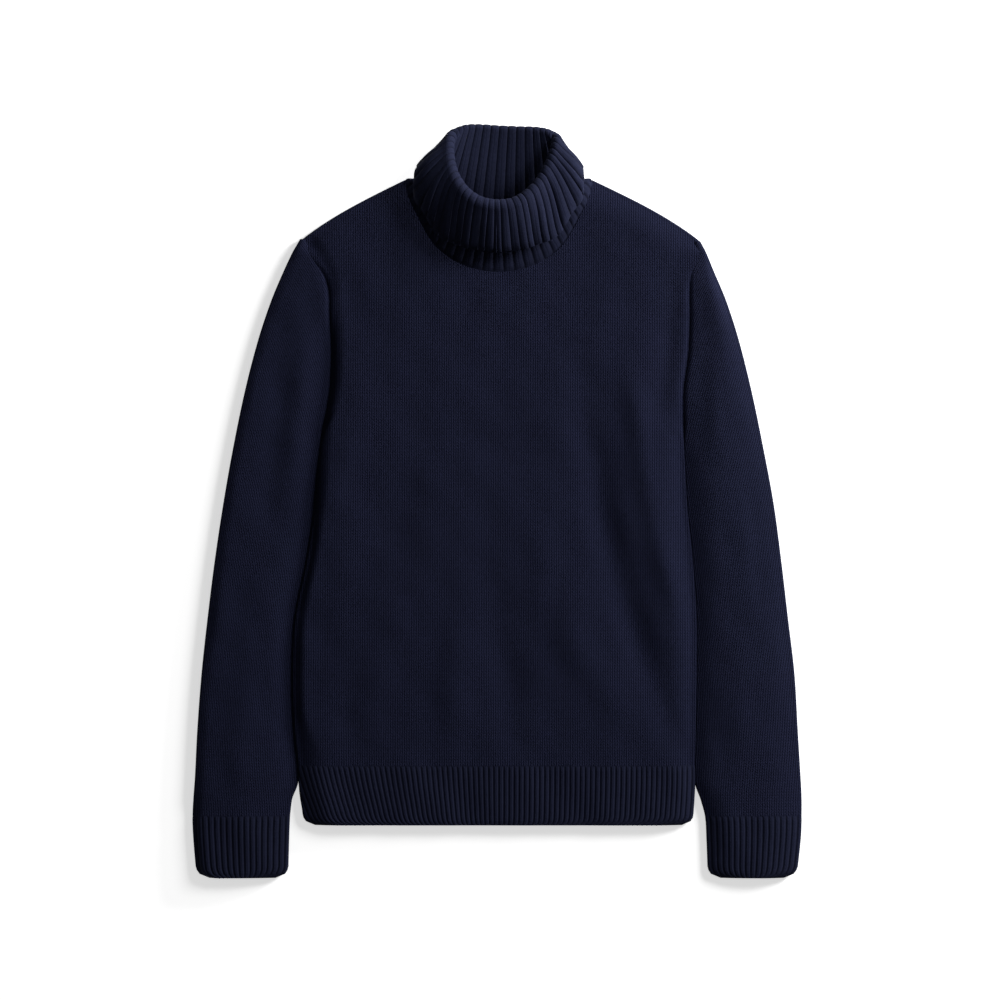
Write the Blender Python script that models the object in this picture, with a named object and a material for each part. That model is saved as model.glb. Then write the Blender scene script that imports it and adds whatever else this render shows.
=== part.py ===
# A heavy rib-trimmed roll-neck sweater, laid flat on its back with the sleeves beside the body.
# Lengths are in millimetres until a mesh is made. X runs across the garment, Y up towards the
# collar and Z away from the surface that it lies on. Right and left are the wearer's, so the
# right side lies at -X. "up" is a height above the lower edge of the hem.
import math

import bmesh
import bpy
import numpy as np

METRES = 0.001

# The knitted wall, and how thick the laid garment is
WALL = 3.4            # jersey, front or back alone
SEAM_GAP = 0.3        # between two pieces that are sewn together
EDGE_HEIGHT = 8.75    # outer height where the rounding of an edge ends
FULL_HEIGHT = 10.4    # outer height well inside a panel or sleeve
RISE_WIDTH = 32.0     # over which an edge softly reaches the full height
MIDDLE_HEIGHT = 4.25  # height of a folded edge's outermost line
UNDER_RADIUS = 4.1    # rounding of the underside at a folded edge
CREASE_ANGLE = math.radians(50)   # how steeply the cloth dips into the armhole seam
CREASE_RUN = 40.0     # above the underarm, over which the folded edge becomes that crease
CREASE_RADIUS = 9.0   # the most that the crease's lips are rounded
TIP_FROM = 565.0      # where the crease starts to flatten out towards the shoulder's tip
TIP_RUN = 35.0
TIP_ANGLE = math.radians(12)

# Heights of the garment's lines
HEM_TOP = 62.5
CUFF_TOP = 9.5
CUFF_END = -56.0
UNDERARM = 397.0
SHOULDER_UP = 619.0
SHOULDER_BULGE = 5.5  # how far the shoulder line curves out over a straight one
NECK_UP = 678.0
NECK_HALF = 110.0
FRONT_NECK_DROP = 92.0
BACK_NECK_DROP = 19.0
HEM_CORNER = 12.0
CUFF_CORNER = 13.0

# Ribs: pitch, and how far a rib stands over the groove beside it
HEM_PITCH = 5.4
CUFF_PITCH = 6.1
RIB_RISE = 1.0
RIB_SHARE = 0.35      # part of that rise which is above the jersey's own surface
RIBS_FROM = 1.5       # height at which the ribs of an edge begin to rise
RIBS_FADE = 3.0       # over which they reach their full rise

# Sections of the hem and cuffs, and their columns: two for each rib in front
HEM_HALF = 212.0
HEM_LEVELS = (0.0, 2.5, 8.0, HEM_TOP - SEAM_GAP / 2)
HEM_COLUMNS = 2 * round(HEM_HALF / HEM_PITCH)
HEM_BACK_COLUMNS = 12
CUFF_WIDTH = 100.0
CUFF_LEVELS = (CUFF_END, CUFF_END + 2.5, CUFF_END + 8.0, CUFF_TOP - SEAM_GAP / 2)
CUFF_TOP_COLUMNS = 2 * round(CUFF_WIDTH / CUFF_PITCH)
CUFF_UNDER_COLUMNS = 4
SLEEVE_TOP_COLUMNS = 7
SLEEVE_UNDER_COLUMNS = 3

# The body's two side lines, from the middle: side seams, then armhole seams
BODY_EDGE = (
    # up, right, left
    (0, 212, 208),
    (62, 213, 209),
    (100, 217, 210),
    (160, 219, 211),
    (220, 216, 211),
    (280, 204, 207),
    (340, 195, 201),
    (397, 190, 198),
    (420, 187, 197),
    (460, 180, 197),
    (500, 178, 202),
    (540, 180, 204),
    (564, 181, 204),
    (582, 187, 206),
    (598, 198, 213),
    (606, 203, 216),
    (619, 210, 213),
)

# The sleeves' two side lines; above the underarm the inner one is the armhole seam
SLEEVE_EDGE = (
    # up, right inner, left inner, right outer, left outer
    (-56, 223, 220, 320, 316),
    (-15, 221, 218, 323.5, 320.5),
    (9, 219, 216, 324.5, 321.5),
    (30, 217, 214, 323.5, 321.5),
    (50, 213.5, 209.5, 322, 320.5),
    (100, 217.5, 210.5, 319.5, 317.5),
    (160, 219.5, 211.5, 315, 314),
    (220, 216.5, 211.5, 308.5, 307),
    (280, 204.5, 207.5, 301, 300),
    (340, 195.5, 201.5, 292, 292),
    (397, 190.5, 198.5, 282, 281.5),
    (460, 181, 198, 269, 268.5),
    (514, 181, 203, 255, 255),
    (556, 182, 205, 241, 241.5),
    (588, 191, 208, 227.5, 228),
    (607, 204, 216, 218.5, 219.5),
)

# Levels of the sections, shared by body and sleeves so that their seams match
BODY_LEVELS = (110, 160, 220, 280, 340, 397, 409, 425, 460, 500, 540, 564, 582, 598, 606, 614)
SLEEVE_LEVELS = (30, 50, 80) + BODY_LEVELS
SLEEVE_TOP = {"right": 606, "left": 594}
SIDE_POWER = 6        # keeps the sections level at the sides until close to the shoulder
TOP_STEPS = 3         # sections round the shoulder fold
EDGE_STEPS = 3        # columns round a quarter of a folded edge
LEAST_RUN = 6.0       # those columns' width where an edge lies flat

# Columns of a panel as distances from the middle at the shoulder, closer at the neckline
FRONT_COLUMNS = (186, 164, 144, 125, NECK_HALF, 106, 100, 90, 77, 60, 42, 22, 0)
BACK_COLUMNS = (165, NECK_HALF, 105, 95, 65, 0)

# Soft folds of the body's front, through three points each, left as positive x
BODY_FOLDS = (
    # height, half width, x1, up1, x2, up2, x3, up3
    (-2.2, 14, 132, 474, 153, 286, 205, 100),
    (1.2, 17, 87, 349, 130, 185, 190, 90),
    (0.6, 10, 184, 535, 170, 440, 205, 250),
    (0.5, 15, -32, 259, -22, 190, -15, 129),
    (-0.6, 16, -78, 240, -71, 158, -66, 90),
    (-0.5, 16, 22, 250, 30, 170, 34, 90),
    (-0.5, 14, -158, 220, -154, 146, -150, 85),
)
SLEEVE_FOLDS = {
    # height, half width, x1, up1, x2, up2, x3, up3
    "right": ((-1.0, 15, -214, 530, -215, 479, -218, 428),
              (-0.5, 16, -246, 380, -262, 260, -270, 150)),
    "left": ((-0.6, 15, 226, 470, 236, 390, 246, 300),
             (0.5, 14, 262, 330, 275, 220, 282, 120)),
}

# The collar: the stand rises from the neckline to the crest, rolls over and comes back outside
RIB_COUNT = 54
COLLAR_WALL = 2.8
COLLAR_RIB_RISE = 1.3
COLLAR_SHARE = 0.5
FOOT_END = 0.30       # share of the stand that is the foot band
TURN_END = 0.34       # share of the stand where the turnover's free edge lies
BAND_GAP = 0.014      # share of the stand between the foot band and the roll
FOOT_ROWS = 2
STAND_ROWS = 2
ROLL_ROWS = 4
TURN_ROWS = 2
SOFT_RIBS = 2.2       # how many ribs each way a bend in the stand is spread over
FOOT_RIBS_FROM = 2.5  # height at which the foot band's ribs begin to rise
FOOT_RIBS_FADE = 4.0
BACK_FROM = 13.0      # ribs from the middle of the front to where the back's foot begins
BACK_SPARE = 1.25     # spare room beside the back neckline, where the stand climbs at once
COLLAR_CREST = (
    # rib, x, up, height, climb, roll gap, edge gap
    (0, -1, 652, 42, 1.3, 3.6, 5.0),
    (5, 24, 657, 41, 1.3, 3.6, 4.2),
    (8.5, 42, 675, 38, 1.4, 3.4, 3.6),
    (12, 52, 694, 34, 1.8, 3.2, 3.2),
    (15, 58, 711, 28, 2.3, 3.0, 3.0),
    (18.5, 59, 725, 20, 2.6, 2.4, 2.0),
    (22, 50, 733, 12, 4.0, 1.6, 1.2),
    (27, 5, 735, 6.8, 6.0, 1.0, 0.8),
    (32, -38, 735, 11, 4.0, 1.6, 1.2),
    (35.5, -50, 725, 20, 2.6, 2.6, 3.0),
    (39, -54, 709, 28, 2.3, 3.2, 4.5),
    (42, -51, 691, 34, 1.8, 3.4, 6.0),
    (45.5, -42, 672, 38, 1.2, 3.6, 7.0),
    (49, -26, 657, 41, 1.2, 3.6, 6.0),
)

SIDE_SIGN = {"right": -1.0, "left": 1.0}
UPWARDS = np.array((0.0, 1.0, 0.0))


def clear_scene():
    for old in list(bpy.data.objects):
        bpy.data.objects.remove(old, do_unlink=True)


def make_collection(name):
    collection = bpy.data.collections.new(name)
    bpy.context.scene.collection.children.link(collection)
    return collection


def make_material(name, colour, roughness):
    material = bpy.data.materials.new(name)
    material.use_nodes = True
    shader = material.node_tree.nodes["Principled BSDF"]
    shader.inputs["Base Color"].default_value = colour + (1.0,)
    shader.inputs["Roughness"].default_value = roughness
    shader.inputs["Metallic"].default_value = 0.0
    return material


# Curves through tables

def curve_through(places, values, place):
    """A smooth curve through a table's rows, straight on past its ends."""
    last = len(places) - 1
    index = int(np.clip(np.searchsorted(places, place) - 1, 0, last - 1))
    span = places[index + 1] - places[index]
    share = (place - places[index]) / span

    def slope(at):
        low = max(at - 1, 0)
        high = min(at + 1, last)
        return (values[high] - values[low]) / (places[high] - places[low])

    if share < 0.0:
        return values[0] + slope(0) * (place - places[0])
    if share > 1.0:
        return values[last] + slope(last) * (place - places[last])
    start = slope(index) * span
    end = slope(index + 1) * span
    square = share * share
    cube = square * share
    return ((2 * cube - 3 * square + 1) * values[index] + (cube - 2 * square + share) * start
            + (3 * square - 2 * cube) * values[index + 1] + (cube - square) * end)


def table_column(table, column):
    return [float(row[column]) for row in table]


def read_table(table, column, up):
    return curve_through(table_column(table, 0), table_column(table, column), up)


def soft_step(share):
    share = min(max(share, 0.0), 1.0)
    return share * share * (3.0 - 2.0 * share)


def soft_rise(distance, width):
    share = min(max(distance / width, 0.0), 1.0)
    return 1.0 - (1.0 - share) ** 2


def body_edge(up, side):
    return read_table(BODY_EDGE, 1 if side == "right" else 2, min(up, SHOULDER_UP))


def corner_pull(height, radius):
    """How far a rounded lower corner draws an edge in at a height above its end."""
    if height >= radius:
        return 0.0
    short = radius - max(height, 0.0)
    return radius - math.sqrt(max(radius * radius - short * short, 0.0))


def sleeve_edges(up, side):
    inner = read_table(SLEEVE_EDGE, 1 if side == "right" else 2, up)
    outer = read_table(SLEEVE_EDGE, 3 if side == "right" else 4, up)
    if up >= UNDERARM:
        inner = body_edge(up, side) + SEAM_GAP
    else:
        near = soft_step((up - UNDERARM + CREASE_RUN) / CREASE_RUN)
        inner += near * (body_edge(up, side) + SEAM_GAP - inner)
    pull = corner_pull(up - CUFF_END, CUFF_CORNER)
    return inner + pull, outer - pull


def fold_height(folds, x, up):
    """The sum of the soft folds at a place, each along a bent line and fading at its ends."""
    total = 0.0
    for height, half_width, x1, up1, x2, up2, x3, up3 in folds:
        middle = np.array((x2, up2), dtype=float)
        if up >= up2:
            end = np.array((x1, up1), dtype=float)
        else:
            end = np.array((x3, up3), dtype=float)
        run = end - middle
        length = float(np.hypot(run[0], run[1]))
        offset = np.array((x, up)) - middle
        along = float(offset @ run) / (length * length)
        across = abs(float(offset[0] * run[1] - offset[1] * run[0])) / length
        fade = 1.0 - soft_step((along - 0.45) / 0.75)
        total += height * fade * math.exp(-(across / half_width) ** 2)
    return total


# Edges and creases

def edge_shape(up):
    """Angles and radii of the upper and lower rounding of a side edge at a level."""
    crease = soft_step((up - UNDERARM) / CREASE_RUN)
    tip = soft_step((up - TIP_FROM) / TIP_RUN)
    upper_angle = math.pi / 2 + crease * (CREASE_ANGLE - math.pi / 2)
    upper_angle += tip * (TIP_ANGLE - CREASE_ANGLE)
    lower_angle = math.pi / 2 * (1.0 - crease)
    under_top = MIDDLE_HEIGHT - SEAM_GAP / 2 - (UNDER_RADIUS - WALL) * math.cos(lower_angle)
    seam_height = under_top + SEAM_GAP + WALL * math.cos(upper_angle)
    upper_radius = (EDGE_HEIGHT - seam_height) / (1.0 - math.cos(upper_angle))
    return upper_angle, min(upper_radius, CREASE_RADIUS), lower_angle


def round_over(run, radius, angle):
    """Distance inwards and height lost after a run round an edge, from its outermost line."""
    left = angle - run / radius
    if left >= 0.0:
        return radius * (math.sin(angle) - math.sin(left)), radius * (1.0 - math.cos(left))
    return radius * math.sin(angle) - left * radius, 0.0


def angle_left(run, radius, angle):
    """How steep the rounding still is after a run round an edge."""
    return max(angle - run / radius, 0.0)


def run_at(distance, radius, angle):
    """The run round an edge that reaches a distance inwards."""
    reach = radius * math.sin(angle)
    if distance >= reach:
        return radius * angle + distance - reach
    return radius * (angle - math.asin((reach - distance) / radius))


def shoulder_slope(side):
    return math.atan2(NECK_UP - SHOULDER_UP, body_edge(SHOULDER_UP, side) - NECK_HALF)


def shoulder_line(x, side):
    """The shoulder's fold, a little curved between the neck point and the tip."""
    share = (abs(x) - NECK_HALF) / (body_edge(SHOULDER_UP, side) - NECK_HALF)
    bulge = SHOULDER_BULGE * math.sin(math.pi * min(max(share, 0.0), 1.0)) ** 0.7
    return NECK_UP - (abs(x) - NECK_HALF) * math.tan(shoulder_slope(side)) + bulge


def top_line(x, side, neck_drop):
    """The upper end of a panel: the neckline inside the neck points, else the shoulder."""
    share = abs(x) / NECK_HALF
    if share >= 1.0:
        return shoulder_line(x, side)
    return NECK_UP - neck_drop * math.sqrt(1.0 - share * share)


# The panels of the body

def panel_level(row):
    levels = (HEM_TOP + SEAM_GAP / 2,) + BODY_LEVELS
    return float(np.interp(row, range(len(levels)), levels))


def side_rounding(level, side, upper):
    """A panel's side line at a level, its rounding there and where the panel turns level."""
    upper_angle, upper_radius, lower_angle = edge_shape(level)
    angle, radius = (upper_angle, upper_radius) if upper else (lower_angle, UNDER_RADIUS)
    edge = body_edge(level, side) - SEAM_GAP / 2
    edge_run = max(radius * angle, LEAST_RUN)
    return edge, radius, angle, edge_run, edge - round_over(edge_run, radius, angle)[0]


def panel_across(column, level, columns, upper):
    """Distance from the middle, height lost, where the panel turns level, and its angle."""
    side = "right" if column < 0.0 else "left"
    edge, radius, angle, edge_run, level_from = side_rounding(level, side, upper)
    from_edge = EDGE_STEPS + len(columns) - abs(column)
    if from_edge < EDGE_STEPS:
        run = edge_run * from_edge / EDGE_STEPS
        inward, loss = round_over(run, radius, angle)
        return edge - inward, loss, level_from, angle_left(run, radius, angle)
    shoulder = side_rounding(BODY_LEVELS[-1], side, upper)[4]
    places = (shoulder,) + columns
    x = float(np.interp(from_edge - EDGE_STEPS, range(len(places)), places))
    share = max(x - NECK_HALF, 0.0) / (shoulder - NECK_HALF)
    return x + (level_from - shoulder) * share, 0.0, level_from, 0.0


def panel_place(column, row, columns, neck_drop, upper):
    """A panel's point in plan, its lost height, its distances inwards and its angles."""
    side = "right" if column < 0.0 else "left"
    last_row = len(BODY_LEVELS)
    level = panel_level(min(row, last_row))
    x, side_loss, level_from, side_angle = panel_across(column, level, columns, upper)
    top_x = panel_across(column, BODY_LEVELS[-1], columns, upper)[0]
    top_up = top_line(top_x, side, neck_drop)
    fold_radius = EDGE_HEIGHT - MIDDLE_HEIGHT - SEAM_GAP / 2 if upper else UNDER_RADIUS
    quarter = math.pi / 2
    lean = math.cos(shoulder_slope(side))
    start = max((shoulder_line(top_x, side) - top_up) * lean, 0.0)
    run = run_at(start, fold_radius, quarter)
    above = max(row - last_row, 0.0)
    run += fold_radius * quarter * (TOP_STEPS - above) / TOP_STEPS
    inward, top_loss = round_over(run, fold_radius, quarter)
    top_angle = angle_left(run, fold_radius, quarter)
    up = top_up - (inward - start) / lean
    if row < last_row:
        bottom = HEM_TOP + SEAM_GAP / 2
        share = (level - bottom) / (BODY_LEVELS[-1] - bottom)
        at_side = abs(column) >= len(columns)
        up = level + (up - BODY_LEVELS[-1]) * share ** (SIDE_POWER if at_side else 1)
        top_loss = 0.0
        top_angle = 0.0
    from_top = (shoulder_line(x, side) - up) * lean - fold_radius
    angles = (SIDE_SIGN[side] * side_angle, top_angle)
    return SIDE_SIGN[side] * x, up, max(side_loss, top_loss), level_from - x, from_top, angles


def panel_inward(angles, upper):
    """The way from a panel's outer face to its inner one, from its angles at side and top."""
    side_angle, top_angle = angles
    height = min(math.cos(side_angle), math.cos(top_angle))
    return np.array((-math.sin(side_angle), -math.sin(top_angle), -height if upper else height))


def front_height(x, up, from_side, from_top):
    rise = soft_rise(from_side, RISE_WIDTH) * soft_rise(from_top, RISE_WIDTH)
    return EDGE_HEIGHT + rise * (FULL_HEIGHT - EDGE_HEIGHT + fold_height(BODY_FOLDS, x, up))


def front_point(column, row):
    x, up, loss, from_side, from_top, angles = panel_place(column, row, FRONT_COLUMNS,
                                                           FRONT_NECK_DROP, True)
    height = front_height(x, up, from_side, from_top) - loss
    return np.array((x, up, height)), panel_inward(angles, True)


def back_point(column, row):
    x, up, loss, from_side, from_top, angles = panel_place(column, row, BACK_COLUMNS,
                                                           BACK_NECK_DROP, False)
    return np.array((x, up, loss)), panel_inward(angles, False)


# The hem rib, whose columns are evenly spaced round its edges

def hem_place(column, row, count, upper):
    side = "right" if column < 0.0 else "left"
    up = float(np.interp(row, range(len(HEM_LEVELS)), HEM_LEVELS))
    radius = EDGE_HEIGHT - MIDDLE_HEIGHT - SEAM_GAP / 2 if upper else UNDER_RADIUS
    edge = body_edge(up, side) - SEAM_GAP / 2 - corner_pull(up, HEM_CORNER)
    half_run = edge - radius + radius * math.pi / 2
    inward, loss = round_over(half_run * (1.0 - abs(column) / count), radius, math.pi / 2)
    x = SIDE_SIGN[side] * (edge - inward)
    return x, up, loss, max(inward - radius, 0.0)


def hem_front_point(column, row):
    x, up, loss, from_side = hem_place(column, row, HEM_COLUMNS, True)
    rise = soft_rise(from_side, RISE_WIDTH)
    lift = FULL_HEIGHT - EDGE_HEIGHT + fold_height(BODY_FOLDS, x, up)
    return np.array((x, up, EDGE_HEIGHT + rise * lift - loss))


def hem_back_point(column, row):
    x, up, loss, from_side = hem_place(column, row, HEM_BACK_COLUMNS, False)
    return np.array((x, up, loss))


# Sleeves and cuffs, round from the inner seam over the top, the outer edge and the underside

def tube_point(column, up, side, top_columns, under_columns):
    """A point of a flattened tube: inner edge, top, outer edge, underside, inner edge."""
    inner, outer = sleeve_edges(up, side)
    crease = soft_step((up - UNDERARM) / CREASE_RUN)
    upper_angle, upper_radius, lower_angle = edge_shape(up)
    seam = EDGE_HEIGHT - upper_radius * (1.0 - math.cos(upper_angle))
    seam -= (1.0 - crease) * SEAM_GAP / 2
    upper_radius = (EDGE_HEIGHT - seam) / (1.0 - math.cos(upper_angle))
    fold_radius = EDGE_HEIGHT - MIDDLE_HEIGHT
    under_radius = MIDDLE_HEIGHT
    top_start = inner + upper_radius * math.sin(upper_angle)
    top_end = max(outer - fold_radius, top_start + 0.5)
    under_start = outer - under_radius
    under_run = max(under_radius * lower_angle, LEAST_RUN)
    under_end = inner + round_over(under_run, under_radius, lower_angle)[0]
    marks = np.cumsum((0, EDGE_STEPS, top_columns, EDGE_STEPS, EDGE_STEPS, under_columns))
    loss = 0.0
    over = True
    if column < marks[1]:
        run = upper_radius * upper_angle * column / EDGE_STEPS
        inward, loss = round_over(run, upper_radius, upper_angle)
        x = inner + inward
    elif column < marks[2]:
        x = top_start + (top_end - top_start) * (column - marks[1]) / top_columns
    elif column < marks[3]:
        run = fold_radius * math.pi / 2 * (marks[3] - column) / EDGE_STEPS
        inward, loss = round_over(run, fold_radius, math.pi / 2)
        x = outer - inward
    elif column < marks[4]:
        over = False
        run = under_radius * math.pi / 2 * (column - marks[3]) / EDGE_STEPS
        inward, loss = round_over(run, under_radius, math.pi / 2)
        x = outer - inward
    elif column < marks[5]:
        over = False
        x = under_start + (under_end - under_start) * (column - marks[4]) / under_columns
    else:
        over = False
        left = EDGE_STEPS - (column - marks[5])
        inward, loss = round_over(under_run * left / EDGE_STEPS, under_radius, lower_angle)
        x = inner + inward
    x *= SIDE_SIGN[side]
    if not over:
        return np.array((x, up, loss))
    width = max(top_end - top_start, 1.0)
    reach = min(RISE_WIDTH, width * 0.5)
    rise = soft_rise(abs(x) - top_start, reach) * soft_rise(top_end - abs(x), reach)
    rise *= min(width / RISE_WIDTH, 1.0)
    lift = FULL_HEIGHT - EDGE_HEIGHT + fold_height(SLEEVE_FOLDS[side], x, up)
    return np.array((x, up, EDGE_HEIGHT + rise * lift - loss))


# The collar

def neckline_lengths():
    """Points of the neckline, from the middle of the front round the left neck point."""
    turns = np.linspace(0.0, 2.0 * math.pi, 721)
    points = np.array([neckline_point(turn) for turn in turns])
    steps = np.linalg.norm(np.diff(points, axis=0), axis=1)
    return turns, np.concatenate(((0.0,), np.cumsum(steps)))


def neckline_point(turn):
    """The outer surface at the neckline; the front is the first and last quarter turn."""
    x = NECK_HALF * math.sin(turn)
    cosine = math.cos(turn)
    side = "left" if x >= 0.0 else "right"
    lean = math.cos(shoulder_slope(side))
    front = cosine >= 0.0
    up = NECK_UP - (FRONT_NECK_DROP if front else BACK_NECK_DROP) * abs(cosine)
    distance = max((shoulder_line(x, side) - up) * lean, 0.0)
    if front:
        radius = EDGE_HEIGHT - MIDDLE_HEIGHT
        inward, loss = round_over(run_at(distance, radius, math.pi / 2), radius, math.pi / 2)
        height = front_height(x, up, RISE_WIDTH, distance - radius) - loss
    else:
        radius = MIDDLE_HEIGHT
        inward, height = round_over(run_at(distance, radius, math.pi / 2), radius, math.pi / 2)
    return np.array((x, up, height))


def ring_table(column, rib):
    """A value of the crest table at a rib, smooth all the way round."""
    places = table_column(COLLAR_CREST, 0)
    values = table_column(COLLAR_CREST, column)
    places = [places[-2] - RIB_COUNT, places[-1] - RIB_COUNT] + places
    values = [values[-2], values[-1]] + values
    places += [RIB_COUNT, RIB_COUNT + places[3]]
    values += [values[2], values[3]]
    return curve_through(places, values, rib % RIB_COUNT)


def sharp_stand_point(rib, share):
    """The stand's outer face before its bends are softened."""
    place = (rib % RIB_COUNT) / RIB_COUNT * NECK_LENGTHS[-1]
    turn = float(np.interp(place, NECK_LENGTHS, NECK_TURNS))
    foot = neckline_point(turn)
    crest = np.array([ring_table(column, rib) for column in (1, 2, 3)])
    climb = ring_table(4, rib)
    point = foot + (crest - foot) * share
    point[2] = foot[2] + (crest[2] - foot[2]) * (1.0 - (1.0 - share) ** climb)
    return point


def stand_point(rib, share):
    """The stand's outer face, from the neckline (0) to where the roll begins (1)."""
    reach = SOFT_RIBS * soft_step(share / FOOT_END)
    if reach == 0.0:
        return sharp_stand_point(rib, share)
    ways = ((-1.0, 0.2), (-0.5, 0.2), (0.0, 0.2), (0.5, 0.2), (1.0, 0.2))
    return sum(sharp_stand_point(rib + way * reach, share) * weight for way, weight in ways)


def stand_frame(rib, share):
    """The stand's point with its outward direction and its direction up the stand."""
    step = 0.02
    round_way = stand_point(rib + step * 8, share) - stand_point(rib - step * 8, share)
    up_way = stand_point(rib, min(share + step, 1.0)) - stand_point(rib, max(share - step, 0.001))
    outward = np.cross(round_way, up_way)
    outward /= np.linalg.norm(outward)
    up_way /= np.linalg.norm(up_way)
    return stand_point(rib, share), outward, up_way


def collar_rib(rib):
    wave = 0.5 + 0.5 * math.cos(2.0 * math.pi * rib)
    return COLLAR_RIB_RISE * (wave - COLLAR_SHARE)


def foot_start(rib):
    """Share of the stand left free so that its first section clears the neckline's edge."""
    foot = stand_point(rib, 0.0)
    crest = stand_point(rib, 1.0)
    plan = math.hypot(crest[0] - foot[0], crest[1] - foot[1])
    climb_angle = math.atan2((crest[2] - foot[2]) * ring_table(4, rib), plan)
    behind = soft_step((min(rib % RIB_COUNT, RIB_COUNT - rib % RIB_COUNT) - BACK_FROM) / 2.0)
    clear = SEAM_GAP * 2 + behind * COLLAR_WALL * math.sin(climb_angle) * BACK_SPARE
    return clear / (crest[1] - foot[1])


def foot_section(rib):
    """Ribbed and plain points of the foot band, from the neckline to its upper end."""
    ribbed = []
    plain = []
    for share in np.linspace(foot_start(rib), FOOT_END, FOOT_ROWS + 1):
        point, outward, along = stand_frame(rib, share)
        raised = collar_rib(rib) * soft_step((point[2] - FOOT_RIBS_FROM) / FOOT_RIBS_FADE)
        ribbed.append(point + outward * raised)
        plain.append(point - outward * COLLAR_WALL)
    return ribbed, plain


def roll_section(rib):
    """Ribbed and plain points from the foot band's upper end over the roll to the free edge."""
    ribbed = []
    plain = []
    raised = COLLAR_WALL + collar_rib(rib)
    roll_gap = ring_table(5, rib)
    edge_gap = ring_table(6, rib)
    for share in np.linspace(FOOT_END + BAND_GAP, 1.0, STAND_ROWS + 1):
        point, outward, along = stand_frame(rib, share)
        ribbed.append(point - outward * raised)
        plain.append(point)
    middle = point + outward * roll_gap / 2
    for turn in np.linspace(0.0, math.pi, ROLL_ROWS + 1)[1:-1]:
        way = along * math.sin(turn) - outward * math.cos(turn)
        ribbed.append(middle + way * (roll_gap / 2 + raised))
        plain.append(middle + way * roll_gap / 2)
    for share in np.linspace(1.0, TURN_END, TURN_ROWS + 1):
        point, outward, along = stand_frame(rib, share)
        gap = roll_gap + (edge_gap - roll_gap) * (1.0 - share) / (1.0 - TURN_END)
        ribbed.append(point + outward * (gap + raised))
        plain.append(point + outward * gap)
    return ribbed, plain


# Meshes

def section_inward(point_at, column, row, way):
    """The way to a wall's inner face, square to its section at one level."""
    step = 0.01
    across = point_at(column + step, row) - point_at(column - step, row)
    inward = np.cross(UPWARDS, across) * way
    return inward / np.linalg.norm(inward)


def wall_points(place_at, columns, rows, raise_at):
    """Outer and inner points of a wall, from a function for a point and its way inwards."""
    outer = []
    inner = []
    for row in rows:
        outer_row = []
        inner_row = []
        for column in columns:
            point, inward = place_at(column, row)
            outer_row.append(point - inward * raise_at(column, point))
            inner_row.append(point + inward * WALL)
        outer.append(outer_row)
        inner.append(inner_row)
    return outer, inner


def build_wall(name, grids, joined, collection, material):
    """One closed body from an outer and an inner grid; a joined row is a closed ring."""
    mesh = bmesh.new()
    walls = []
    for grid in grids:
        rows = []
        for points, ring in zip(grid, joined):
            kept = points[:-1] if ring else points
            row = [mesh.verts.new(tuple(point * METRES)) for point in kept]
            rows.append(row + row[:1] if ring else row)
        walls.append(rows)
    face, lining = walls
    last_row = len(face) - 1
    last_column = len(face[0]) - 1
    for low in range(last_row):
        high = low + 1
        for at in range(last_column):
            for rows in walls:
                mesh.faces.new((rows[low][at], rows[low][at + 1],
                                rows[high][at + 1], rows[high][at]))
        if joined[low] and joined[high]:
            continue
        for at in (0, last_column):
            corners = (face[low][at], face[high][at], lining[high][at], lining[low][at])
            mesh.faces.new(corners)
    for end in (0, last_row):
        for at in range(last_column):
            mesh.faces.new((face[end][at], face[end][at + 1],
                            lining[end][at + 1], lining[end][at]))
    bmesh.ops.recalc_face_normals(mesh, faces=mesh.faces[:])
    data = bpy.data.meshes.new(name)
    mesh.to_mesh(data)
    mesh.free()
    data.materials.append(material)
    data.shade_smooth()
    collection.objects.link(bpy.data.objects.new(name, data))


def no_rib(column, point):
    return 0.0


def half_rib(column, point):
    """A rib on even columns and a groove on odd ones, fading out on the underside."""
    above = soft_step((point[2] - RIBS_FROM) / RIBS_FADE)
    crest = RIB_SHARE if round(column) % 2 == 0 else RIB_SHARE - 1.0
    return RIB_RISE * crest * above


def build_panel(name, place_at, shares, collection, material):
    end = EDGE_STEPS + len(shares)
    columns = range(-end, end + 1)
    rows = range(len(BODY_LEVELS) + TOP_STEPS + 1)
    grids = wall_points(place_at, columns, rows, no_rib)
    build_wall(name, grids, [False] * len(rows), collection, material)


def build_hem(name, point_at, count, raise_at, way, collection, material):

    def place_at(column, row):
        return point_at(column, row), section_inward(point_at, column, row, way)

    rows = range(len(HEM_LEVELS))
    grids = wall_points(place_at, range(-count, count + 1), rows, raise_at)
    build_wall(name, grids, [False] * len(rows), collection, material)


def build_tube(name, side, levels, counts, raise_at, collection, material):
    """A sleeve or cuff: closed below the underarm and open along the armhole above it."""

    def point_at(column, row):
        up = float(np.interp(row, range(len(levels)), levels))
        return tube_point(column, up, side, *counts)

    def place_at(column, row):
        return point_at(column, row), section_inward(point_at, column, row, SIDE_SIGN[side])

    columns = range(4 * EDGE_STEPS + sum(counts) + 1)
    grids = wall_points(place_at, columns, range(len(levels)), raise_at)
    build_wall(name, grids, [up <= UNDERARM for up in levels], collection, material)


def build_collar_part(name, section_at, collection, material):
    """A ring of sections, one for each half rib, whose two grids are closed all round."""
    sections = [section_at(half / 2.0) for half in range(2 * RIB_COUNT + 1)]
    grids = [[list(row) for row in zip(*(section[face] for section in sections))]
             for face in (0, 1)]
    build_wall(name, grids, [True] * len(grids[0]), collection, material)


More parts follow.
